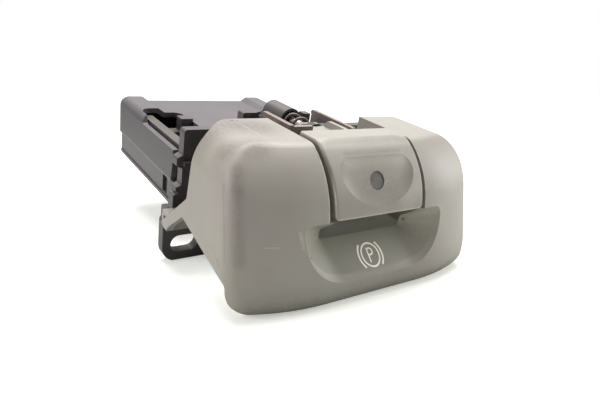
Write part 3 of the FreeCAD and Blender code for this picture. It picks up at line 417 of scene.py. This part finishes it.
bezelSettings = {
    "base": (0.25, 0.241, 0.205),
    "shade": (0.236, 0.216, 0.196),
    # Inside the scoop: olive colour darkened with painted shade.
    "inside": (0.225, 0.22, 0.178),
    "dust": (0.52, 0.49, 0.46),
    "dustAmount": 0.3,
    "toneScale": 45.0,
    "grainScale": 4200.0,
    "roughness": 0.4,
    "bump": 0.35,
    "bumpDepth": 0.00005,
    "marks": (
        # Brownish grime on the top left, and over it painted shade that holds back the top lamp there.
        ((-44, 38, 44), (-30, 33, 46.7), 14.0, (0.15, 0.128, 0.118), 0.9),
        ((-44.5, 22, 43), (-38, 17, 46), 7.0, (0.15, 0.128, 0.118), 0.75),
        # Painted shade: a dark band down the left front face, on the shadow side of the ridge.
        ((-45.6, 13.8, 40.6), (-46.8, 10.5, 35.7), 3.2, (0.16, 0.145, 0.135), 0.6),
        ((-46.8, 10.5, 35.7), (-47.3, 4.5, 17.5), 3.2, (0.16, 0.145, 0.135), 0.6),
        # Painted shade: the front darkens towards its bottom edge, where the contact shadow falls.
        ((-44, -3, 0.5), (44, -3, 0.5), 12.0, (0.165, 0.165, 0.13), 1.0),
        ((-40.4, 3.1, 21.4), (-36.3, 2.0, 21.3), 0.3, (0.42, 0.4, 0.36), 0.55),
        ((-26.0, 0.2, 17.2), (-25.6, 0.3, 16.8), 0.55, (0.05, 0.045, 0.04), 0.9),
        ((-50.6, 10.9, 15.4), (-50.6, 9.2, 14.2), 0.7, (0.17, 0.13, 0.09), 0.6),
        ((-50.5, 14.9, 17.4), (-50.6, 12.0, 16.2), 0.4, (0.2, 0.16, 0.12), 0.4),
        ((-34.9, 39.9, 46.6), (-34.3, 39.9, 46.7), 0.8, (0.03, 0.026, 0.022), 1.0),
        ((-33.1, 39.6, 46.7), (-32.9, 39.6, 46.7), 0.6, (0.03, 0.026, 0.022), 1.0),
        ((-33.6, 38.3, 46.7), (-33.1, 24.6, 46.7), 0.45, (0.4, 0.37, 0.34), 0.5),
        ((-48.85, 14.3, 36.4), (-49.7, 10.5, 26.3), 0.4, (0.13, 0.12, 0.11), 0.5),
        ((-49.7, 10.5, 26.3), (-50.3, 7.4, 16.6), 0.4, (0.13, 0.12, 0.11), 0.5),
        ((18.5, 8.2, 19.8), (18.6, 8.2, 19.7), 1.1, (0.03, 0.028, 0.025), 0.9),
        # Painted highlights along both rims of the handle's notch, standing in for small rounded edges
        # that catch the light.
        ((-20.3, 1.5, 27.0), (-20.3, 3.4, 33.0), 0.5, (0.5, 0.48, 0.45), 0.6),
        ((-20.3, 3.4, 33.0), (-20.3, 6.8, 39.0), 0.5, (0.5, 0.48, 0.45), 0.6),
        ((-20.3, 6.8, 39.0), (-20.3, 10.4, 43.0), 0.5, (0.5, 0.48, 0.45), 0.6),
        ((20.3, 1.5, 27.0), (20.3, 3.4, 33.0), 0.5, (0.5, 0.48, 0.45), 0.5),
        ((20.3, 3.4, 33.0), (20.3, 6.8, 39.0), 0.5, (0.5, 0.48, 0.45), 0.5),
        ((20.3, 6.8, 39.0), (20.3, 10.4, 43.0), 0.5, (0.5, 0.48, 0.45), 0.5),
        # Painted highlights along the scoop's lower rim.
        ((-30.2, 1.6, 25.0), (-29.0, 0.9, 20.5), 0.9, (0.42, 0.41, 0.37), 0.5),
        ((-29.0, 0.9, 20.5), (-26.2, -0.3, 15.6), 0.9, (0.42, 0.41, 0.37), 0.5),
        ((-26.2, -0.3, 15.6), (-20.5, -1.4, 11.2), 0.9, (0.36, 0.35, 0.31), 0.4),
        ((-20.5, -1.4, 11.2), (-8.0, -2.1, 8.6), 0.9, (0.32, 0.31, 0.27), 0.45),
        ((-8.0, -2.1, 8.6), (8.0, -2.1, 8.6), 0.9, (0.32, 0.31, 0.27), 0.45),
        ((8.0, -2.1, 8.6), (20.5, -1.4, 11.2), 0.9, (0.32, 0.31, 0.27), 0.45),
        ((20.5, -1.4, 11.2), (26.2, -0.3, 15.6), 0.9, (0.32, 0.31, 0.27), 0.4),
        # Painted light: the scoop's right wall is made lighter.
        ((20, 3.2, 14.0), (26, 3.1, 22.0), 7.5, (0.3, 0.285, 0.235), 0.85),
    ),
}
handleSettings = {
    "base": (0.252, 0.238, 0.208),
    "shade": (0.222, 0.204, 0.18),
    "dust": (0.6, 0.58, 0.54),
    "dustAmount": 0.35,
    "toneScale": 55.0,
    "grainScale": 4200.0,
    "roughness": 0.38,
    "bump": 0.3,
    "bumpDepth": 0.00005,
    "softDish": 0.78,
    "marks": (
        # Painted highlight along the crest.
        ((-17.5, 13.2, 46.1), (17.5, 13.0, 46.0), 2.0, (0.42, 0.41, 0.38), 0.4),
        # Painted shade: a darker band just below the crest.
        ((-11, 10.6, 44.2), (11, 10.6, 44.2), 1.8, (0.17, 0.157, 0.138), 0.55),
        # Painted light: a lighter band under the thumb dish's top edge, filling the shadow that edge
        # casts.
        ((-11.5, 8.9, 42.0), (11.5, 8.9, 42.0), 3.6, (0.4, 0.375, 0.33), 0.75),
        # Painted glint on the lower right rim of the lamp's hole.
        ((2.2, 5.8, 34.6), (4.0, 5.9, 36.2), 0.8, (0.5, 0.48, 0.44), 0.7),
        # Brownish dirt around the lamp in the thumb dish, together with painted shade of the dish.
        ((-2, 5.6, 37.2), (4, 5.6, 36.8), 12.0, (0.16, 0.142, 0.12), 0.75),
        # Painted shade on the lower left of the handle's front.
        ((-14, 2.4, 31.0), (-9, 2.4, 30.0), 6.0, (0.19, 0.17, 0.15), 0.4),
        # Painted light on the lower right of the handle's front.
        ((11, 2.6, 31.5), (15, 3.0, 32.5), 6.0, (0.33, 0.315, 0.285), 0.7),
        # Painted highlights along the handle's bottom edge and left edge.
        ((-17.3, 1.0, 27.3), (17.3, 1.0, 27.3), 0.8, (0.55, 0.53, 0.5), 0.55),
        ((-18.0, 1.6, 28.0), (-18.3, 3.4, 34.0), 0.5, (0.55, 0.52, 0.48), 0.5),
        ((-18.3, 3.4, 34.0), (-18.5, 6.4, 39.5), 0.5, (0.55, 0.52, 0.48), 0.5),
    ),
}
housingSettings = {
    "base": (0.045, 0.0395, 0.044),
    "shade": (0.055, 0.0485, 0.054),
    "dust": (0.32, 0.292, 0.305),
    "dustAmount": 0.38,
    "toneScale": 70.0,
    "grainScale": 2600.0,
    "roughness": 0.43,
    "bump": 0.3,
    "marks": (
        # Painted highlight along the step between cover and tray, like a ledge catching the light.
        ((-38.7, 76, 12.3), (-38.7, 143.7, 12.3), 0.7, (0.16, 0.145, 0.15), 0.9),
        ((-37.6, 80, 28.4), (-37.6, 143.0, 28.4), 1.6, (0.1, 0.09, 0.1), 0.4),
    ),
}
traySettings = {
    "base": (0.045, 0.0395, 0.044),
    "shade": (0.055, 0.0485, 0.054),
    "dust": (0.33, 0.3, 0.31),
    "dustAmount": 0.3,
    "toneScale": 70.0,
    "grainScale": 2600.0,
    "roughness": 0.36,
    "bump": 0.3,
}
carrierSettings = {
    "base": (0.03, 0.027, 0.028),
    "shade": (0.046, 0.04, 0.04),
    "dust": (0.36, 0.31, 0.27),
    "dustAmount": 0.3,
    "toneScale": 90.0,
    "roughness": 0.38,
}
sliderSettings = {"base": (0.028, 0.025, 0.024), "shade": (0.04, 0.035, 0.033), "roughness": 0.35}
backingSettings = {"base": (0.04, 0.04, 0.04), "shade": (0.05, 0.049, 0.047), "roughness": 0.5}
buttonSettings = {"base": (0.09, 0.088, 0.082), "shade": (0.11, 0.107, 0.1), "roughness": 0.55}
lensSettings = {
    "base": (0.13, 0.125, 0.115),
    "shade": (0.1, 0.097, 0.09),
    "toneScale": 500.0,
    "dustAmount": 0.05,
    "roughness": 0.16,
    "bump": 0.05,
}
steelSettings = {
    "base": (0.55, 0.52, 0.48),
    "shade": (0.4, 0.37, 0.34),
    "roughness": 0.3,
    "metallic": 1.0,
    "grainScale": 6000.0,
    "bump": 0.15,
}
springSettings = {
    "base": (0.13, 0.115, 0.1),
    "shade": (0.08, 0.07, 0.062),
    "dust": (0.4, 0.35, 0.3),
    "dustAmount": 0.4,
    "roughness": 0.42,
    "metallic": 0.7,
    "grainScale": 3000.0,
}
cradleSettings = {
    "base": (0.15, 0.125, 0.108),
    "shade": (0.11, 0.092, 0.08),
    "dust": (0.5, 0.43, 0.36),
    "dustAmount": 0.5,
    "toneScale": 120.0,
    "roughness": 0.5,
}
screwSettings = {"base": (0.6, 0.6, 0.58), "shade": (0.48, 0.48, 0.47), "roughness": 0.28, "metallic": 1.0}
rubberSettings = {"base": (0.02, 0.02, 0.02), "shade": (0.03, 0.03, 0.03), "roughness": 0.7, "bump": 0.4}
boardSettings = {"base": (0.01, 0.07, 0.03), "shade": (0.015, 0.09, 0.04), "roughness": 0.25, "coat": 0.3}
lampSettings = {"base": (0.75, 0.7, 0.5), "shade": (0.7, 0.64, 0.42), "roughness": 0.15, "clear": 0.3}
chipSettings = {"base": (0.01, 0.01, 0.011), "shade": (0.015, 0.015, 0.016), "roughness": 0.45}
canSettings = {"base": (0.6, 0.6, 0.61), "shade": (0.52, 0.52, 0.53), "roughness": 0.3, "metallic": 1.0}
plungerSettings = {"base": (0.68, 0.66, 0.6), "shade": (0.6, 0.58, 0.52), "roughness": 0.4}
terminalSettings = {"base": (0.6, 0.48, 0.2), "shade": (0.5, 0.4, 0.17), "roughness": 0.3, "metallic": 1.0}
symbolSettings = {
    "base": (0.95, 0.93, 0.84),
    "shade": (0.85, 0.83, 0.74),
    "toneScale": 400.0,
    "roughness": 0.5,
    "dustAmount": 0.05,
}

finishOf = {
    "bezel": bezelSettings,
    "pull_handle": handleSettings,
    "status_lens": lensSettings,
    "lamp_board": boardSettings,
    "status_lamp": lampSettings,
    "release_switch": chipSettings,
    "handle_backing": backingSettings,
    "release_button": buttonSettings,
    "pull_rod": steelSettings,
    "rod_clip": steelSettings,
    "stop_bumper": rubberSettings,
    "switch_slider": sliderSettings,
    "carrier": carrierSettings,
    "spring_cradle": cradleSettings,
    "housing_cover": housingSettings,
    "housing_tray": traySettings,
    "circuit_board": boardSettings,
    "board_screws": screwSettings,
    "processor_chip": chipSettings,
    "filter_capacitor": canSettings,
    "switch_apply": chipSettings,
    "switch_rest": chipSettings,
    "plunger_apply": plungerSettings,
    "plunger_rest": plungerSettings,
    "connector_header": housingSettings,
    "terminal_pins": terminalSettings,
}
for node, settings in finishOf.items():
    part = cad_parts[node]
    part.data.materials.clear()
    part.data.materials.append(makeFinish(node + "Finish", settings))
print("finishes made", len(finishOf))


def meshPiece(name, verts, faces, settings, smooth=False):
    mesh = bpy.data.meshes.new(name)
    mesh.from_pydata([tuple(v) for v in verts], [], faces)
    mesh.update()
    piece = bpy.data.objects.new(name, mesh)
    bpy.context.scene.collection.objects.link(piece)
    mesh.materials.append(makeFinish(name + "Finish", settings))
    for face in mesh.polygons:
        face.use_smooth = smooth
    return piece


# The return spring, wound as a tube; the real spring shortens with the handle's travel.
springShape = {
    "mean": 2.75,
    "wire": 0.55,
    "turns": 3.3,
    "phase": -116,
    "start": 47.15,
    "end": 65.25,
    "level": 41.3,
    "around": 12,
    "stepsPerTurn": 40,
}


def springMesh(shape):
    verts = []
    faces = []
    around = shape["around"]
    steps = int(shape["turns"] * shape["stepsPerTurn"])
    run = shape["end"] - shape["start"]
    for i in range(steps + 1):
        turn = math.radians(shape["phase"]) + 2 * math.pi * shape["turns"] * i / steps
        depth = shape["start"] + run * i / steps
        out = Vector((math.cos(turn), 0.0, math.sin(turn)))
        centre = Vector((0, depth, shape["level"])) + out * shape["mean"]
        for k in range(around):
            a = 2 * math.pi * k / around
            point = centre + out * (shape["wire"] * math.cos(a))
            point.y += shape["wire"] * math.sin(a)
            verts.append(place(point.x, point.y, point.z))
    for i in range(steps):
        for k in range(around):
            j = (k + 1) % around
            faces.append((i * around + k, i * around + j, (i + 1) * around + j, (i + 1) * around + k))
    faces.append(tuple(range(around - 1, -1, -1)))
    faces.append(tuple(steps * around + k for k in range(around)))
    return verts, faces


springVerts, springFaces = springMesh(springShape)
springCoil = meshPiece("springCoil", springVerts, springFaces, springSettings, True)
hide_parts("return_spring")
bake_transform(springCoil)

# The symbol printed on the scoop floor: a ring, two brackets and the letter.
symbolShape = {
    "ring": 3.75,
    "stroke": 0.62,
    "bracket": 5.15,
    "bracketStroke": 0.66,
    "bracketSpan": 45,
    "wide": 0.94,
    "tall": 1.1,
    "lean": 0.08,
    "lift": 0.03,
    "centre": (0, 2.2, 12.32),
    "floorRun": 12.58,
    "floorRise": 8.9,
    "ringSteps": 72,
    "bracketSteps": 24,
}
floorUp = Vector((0, symbolShape["floorRun"], symbolShape["floorRise"])).normalized()
floorNormal = Vector((0, -symbolShape["floorRise"], symbolShape["floorRun"])).normalized()
symbolCentre = Vector(symbolShape["centre"]) + floorNormal * symbolShape["lift"]


def onFloor(across, along):
    wide, tall, lean = symbolShape["wide"], symbolShape["tall"], symbolShape["lean"]
    point = symbolCentre + Vector((across * wide + along * lean, 0, 0)) + floorUp * along * tall
    return place(point.x, point.y, point.z)


def arcStrip(radius, stroke, first, last, closed):
    verts = []
    faces = []
    steps = symbolShape["ringSteps"] if closed else symbolShape["bracketSteps"]
    count = steps if closed else steps + 1
    for i in range(count):
        a = math.radians(first + (last - first) * i / steps)
        for r in (radius - stroke / 2, radius + stroke / 2):
            verts.append((r * math.cos(a), r * math.sin(a)))
    for i in range(steps):
        j = (i + 1) % count
        faces.append((2 * i, 2 * i + 1, 2 * j + 1, 2 * j))
    return verts, faces


# The letter is a stem and a bowl of half an ellipse.
letterShape = {
    "stemLeft": -1.15,
    "stemRight": -0.6,
    "halfHeight": 2.35,
    "join": -0.7,
    "bowlAcross": 0.2,
    "bowlLevel": 1.05,
    "bowlReach": 1.0,
    "bowlHalf": 1.03,
    "halfStroke": 0.27,
    "steps": 18,
}


def letterStrip(shape):
    left, right, half = shape["stemLeft"], shape["stemRight"], shape["halfHeight"]
    across, level, bowlHalf = shape["bowlAcross"], shape["bowlLevel"], shape["bowlHalf"]
    verts = [(left, -half), (right, -half), (right, half), (left, half)]
    faces = [(0, 1, 2, 3)]
    base = len(verts)
    path = [(shape["join"], level + bowlHalf), (across, level + bowlHalf)]
    for i in range(shape["steps"] + 1):
        a = math.radians(90 - 180 * i / shape["steps"])
        path.append((across + shape["bowlReach"] * math.cos(a), level + bowlHalf * math.sin(a)))
    path.append((shape["join"], level - bowlHalf))
    for i, (u, v) in enumerate(path):
        before = path[max(i - 1, 0)]
        after = path[min(i + 1, len(path) - 1)]
        du, dv = after[0] - before[0], after[1] - before[1]
        size = math.hypot(du, dv)
        side = (-dv / size * shape["halfStroke"], du / size * shape["halfStroke"])
        verts.append((u + side[0], v + side[1]))
        verts.append((u - side[0], v - side[1]))
    for i in range(len(path) - 1):
        faces.append((base + 2 * i, base + 2 * i + 1, base + 2 * i + 3, base + 2 * i + 2))
    return verts, faces


def bracketStrip(middle):
    span = symbolShape["bracketSpan"]
    width = symbolShape["bracketStroke"]
    return arcStrip(symbolShape["bracket"], width, middle - span, middle + span, False)


symbolVerts = []
symbolFaces = []
strips = [
    arcStrip(symbolShape["ring"], symbolShape["stroke"], 0, 360, True),
    bracketStrip(0),
    bracketStrip(180),
    letterStrip(letterShape),
]
for verts, faces in strips:
    base = len(symbolVerts)
    symbolVerts.extend(onFloor(u, v) for (u, v) in verts)
    symbolFaces.extend(tuple(base + i for i in face) for face in faces)
brakeSymbol = meshPiece("brakeSymbol", symbolVerts, symbolFaces, symbolSettings)
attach(brakeSymbol, "frame")

# The low web under the right wall of the cradle, behind the plate.
webShape = {"left": 18.25, "right": 19.95, "front": 57.7, "rear": 69.4, "low": 36.6, "top": 39.9}
webSides = (("front", "low"), ("rear", "low"), ("rear", "top"), ("front", "top"))
webCorners = [
    (webShape[across], webShape[depth], webShape[height])
    for across in ("left", "right")
    for depth, height in webSides
]
webFaces = [(3, 2, 1, 0), (4, 5, 6, 7), (0, 1, 5, 4), (1, 2, 6, 5), (2, 3, 7, 6), (3, 0, 4, 7)]
cradleWeb = meshPiece("cradleWeb", [place(*corner) for corner in webCorners], webFaces, cradleSettings)
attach(cradleWeb, "frame")
print("own pieces made")

# A pale floor that touches the bezel's bottom edge and the two lugs.
floorShape = {
    "size": 6.0,
    "drop": 0.2,
    "depth": 3.0,
    "lugDrop": 9.45,
    "lugDepth": 54.0,
    "dim": (0.66, 0.67, 0.64),
    "light": (0.69, 0.7, 0.67),
    "nearGlow": 0.6,
    "farGlow": 1.4,
    "glowStart": 0.1,
    "glowEnd": 0.8,
    "noise": 6.0,
    "roughness": 0.6,
    "specular": 0.2,
}
floorTilt = -math.atan2(floorShape["lugDrop"], floorShape["lugDepth"])
floorCentre = place(0, floorShape["depth"], -floorShape["drop"])
bpy.ops.mesh.primitive_plane_add(size=floorShape["size"], location=floorCentre)
floor = bpy.context.object
floor.name = "paleFloor"
floor.rotation_euler = (floorTilt, 0, 0)
floorMaterial = bpy.data.materials.new("paleFloorFinish")
floorMaterial.use_nodes = True
floorTree = floorMaterial.node_tree
floorTree.nodes.clear()
floorOut = addNode(floorTree, "ShaderNodeOutputMaterial")
floorShader = addNode(floorTree, "ShaderNodeBsdfPrincipled")
floorNoise = addNode(floorTree, "ShaderNodeTexNoise")
floorNoise.inputs["Scale"].default_value = floorShape["noise"]
floorRamp = addNode(floorTree, "ShaderNodeMix", data_type="RGBA")
floorRamp.inputs["A"].default_value = (*floorShape["dim"], 1.0)
floorRamp.inputs["B"].default_value = (*floorShape["light"], 1.0)
floorTree.links.new(floorNoise.outputs["Fac"], floorRamp.inputs["Factor"])
floorTree.links.new(floorRamp.outputs["Result"], floorShader.inputs["Base Color"])
floorTree.links.new(floorRamp.outputs["Result"], floorShader.inputs["Emission Color"])
floorShader.inputs["Roughness"].default_value = floorShape["roughness"]
floorShader.inputs["Specular IOR Level"].default_value = floorShape["specular"]
floorPath = addNode(floorTree, "ShaderNodeLightPath")
floorPlace = addNode(floorTree, "ShaderNodeNewGeometry")
floorReach = addNode(floorTree, "ShaderNodeVectorMath", operation="LENGTH")
floorTree.links.new(floorPlace.outputs["Position"], floorReach.inputs[0])
floorFar = addNode(floorTree, "ShaderNodeMapRange", interpolation_type="SMOOTHSTEP")
floorFar.inputs["From Min"].default_value = floorShape["glowStart"]
floorFar.inputs["From Max"].default_value = floorShape["glowEnd"]
floorFar.inputs["To Min"].default_value = floorShape["nearGlow"]
floorFar.inputs["To Max"].default_value = floorShape["farGlow"]
floorTree.links.new(floorReach.outputs["Value"], floorFar.inputs["Value"])
floorGlow = addNode(floorTree, "ShaderNodeMath", operation="MULTIPLY")
floorTree.links.new(floorPath.outputs["Is Camera Ray"], floorGlow.inputs[0])
floorTree.links.new(floorFar.outputs["Result"], floorGlow.inputs[1])
floorTree.links.new(floorGlow.outputs[0], floorShader.inputs["Emission Strength"])
floorTree.links.new(floorShader.outputs["BSDF"], floorOut.inputs["Surface"])
floor.data.materials.append(floorMaterial)

# The room lights the object softly, and the camera and half of each reflection see a white backdrop.
roomShape = {"glow": 0.36, "tint": (1.0, 0.99, 0.975), "backdrop": 1.0, "mirrored": 0.5}
world = bpy.data.worlds.new("studio")
bpy.context.scene.world = world
world.use_nodes = True
worldTree = world.node_tree
worldTree.nodes.clear()
worldOut = addNode(worldTree, "ShaderNodeOutputWorld")
roomGlow = addNode(worldTree, "ShaderNodeBackground")
roomGlow.inputs["Color"].default_value = (*roomShape["tint"], 1.0)
roomGlow.inputs["Strength"].default_value = roomShape["glow"]
backdropGlow = addNode(worldTree, "ShaderNodeBackground")
backdropGlow.inputs["Color"].default_value = (1.0, 1.0, 1.0, 1.0)
backdropGlow.inputs["Strength"].default_value = roomShape["backdrop"]
path = addNode(worldTree, "ShaderNodeLightPath")
choose = addNode(worldTree, "ShaderNodeMixShader")
mirrored = addNode(worldTree, "ShaderNodeMath", operation="MULTIPLY")
mirrored.inputs[1].default_value = roomShape["mirrored"]
seen = addNode(worldTree, "ShaderNodeMath", operation="MAXIMUM")
worldTree.links.new(path.outputs["Is Glossy Ray"], mirrored.inputs[0])
worldTree.links.new(path.outputs["Is Camera Ray"], seen.inputs[0])
worldTree.links.new(mirrored.outputs[0], seen.inputs[1])
worldTree.links.new(seen.outputs[0], choose.inputs["Fac"])
worldTree.links.new(roomGlow.outputs["Background"], choose.inputs[1])
worldTree.links.new(backdropGlow.outputs["Background"], choose.inputs[2])
worldTree.links.new(choose.outputs["Shader"], worldOut.inputs["Surface"])

# Three soft lamps: a strong one above, a faintly pink one on the left, a weak one at the right front.
softBoxes = {
    "topSoftBox": {
        "centre": (0.12, 0.27, 0.6),
        "target": (0, -0.02, 0.02),
        "width": 0.7,
        "height": 0.4,
        "power": 9.0,
        "colour": (1.0, 0.99, 0.97),
    },
    "leftSoftBox": {
        "centre": (-0.65, 0.12, 0.3),
        "target": (0, 0, 0.02),
        "width": 0.4,
        "height": 0.4,
        "power": 3.1,
        "colour": (1.0, 0.945, 0.98),
    },
    "rightSoftBox": {
        "centre": (0.55, -0.2, 0.2),
        "target": (0.03, -0.05, 0.02),
        "width": 0.3,
        "height": 0.3,
        "power": 2.3,
        "colour": (1.0, 0.99, 0.97),
    },
}
for name, box in softBoxes.items():
    boxData = bpy.data.lights.new(name, "AREA")
    boxData.shape = "RECTANGLE"
    boxData.size = box["width"]
    boxData.size_y = box["height"]
    boxData.energy = box["power"]
    boxData.color = box["colour"]
    lamp = bpy.data.objects.new(name, boxData)
    bpy.context.scene.collection.objects.link(lamp)
    lamp.location = box["centre"]
    aim = Vector(box["target"]) - Vector(box["centre"])
    lamp.rotation_euler = aim.to_track_quat("-Z", "Y").to_euler()

# The camera stands where the photograph was taken from, with its three directions as unit vectors.
cameraShape = {
    "sensor": 36.0,
    "lens": 30.74,
    "near": 0.01,
    "eye": (-110.139, -100.212, 88.036),
    "right": (0.8205130106, -0.5531081046, 0.1443254101),
    "down": (-0.1035129196, -0.3920756322, -0.9140906816),
    "forward": (0.5621774407, 0.7350837525, -0.3789569921),
}
cameraData = bpy.data.cameras.new("photoCamera")
camera = bpy.data.objects.new("photoCamera", cameraData)
bpy.context.scene.collection.objects.link(camera)
cameraData.sensor_width = cameraShape["sensor"]
cameraData.lens = cameraShape["lens"]
cameraData.clip_start = cameraShape["near"]
cameraData.dof.use_dof = False
right = Vector(cameraShape["right"])
down = Vector(cameraShape["down"])
forward = Vector(cameraShape["forward"])
eye = place(*cameraShape["eye"])
camera.matrix_world = Matrix((
    (right.x, -down.x, -forward.x, eye.x),
    (right.y, -down.y, -forward.y, eye.y),
    (right.z, -down.z, -forward.z, eye.z),
    (0, 0, 0, 1),
))
bpy.context.scene.camera = camera
bpy.context.scene.view_settings.view_transform = "Standard"
print("stage and camera set")
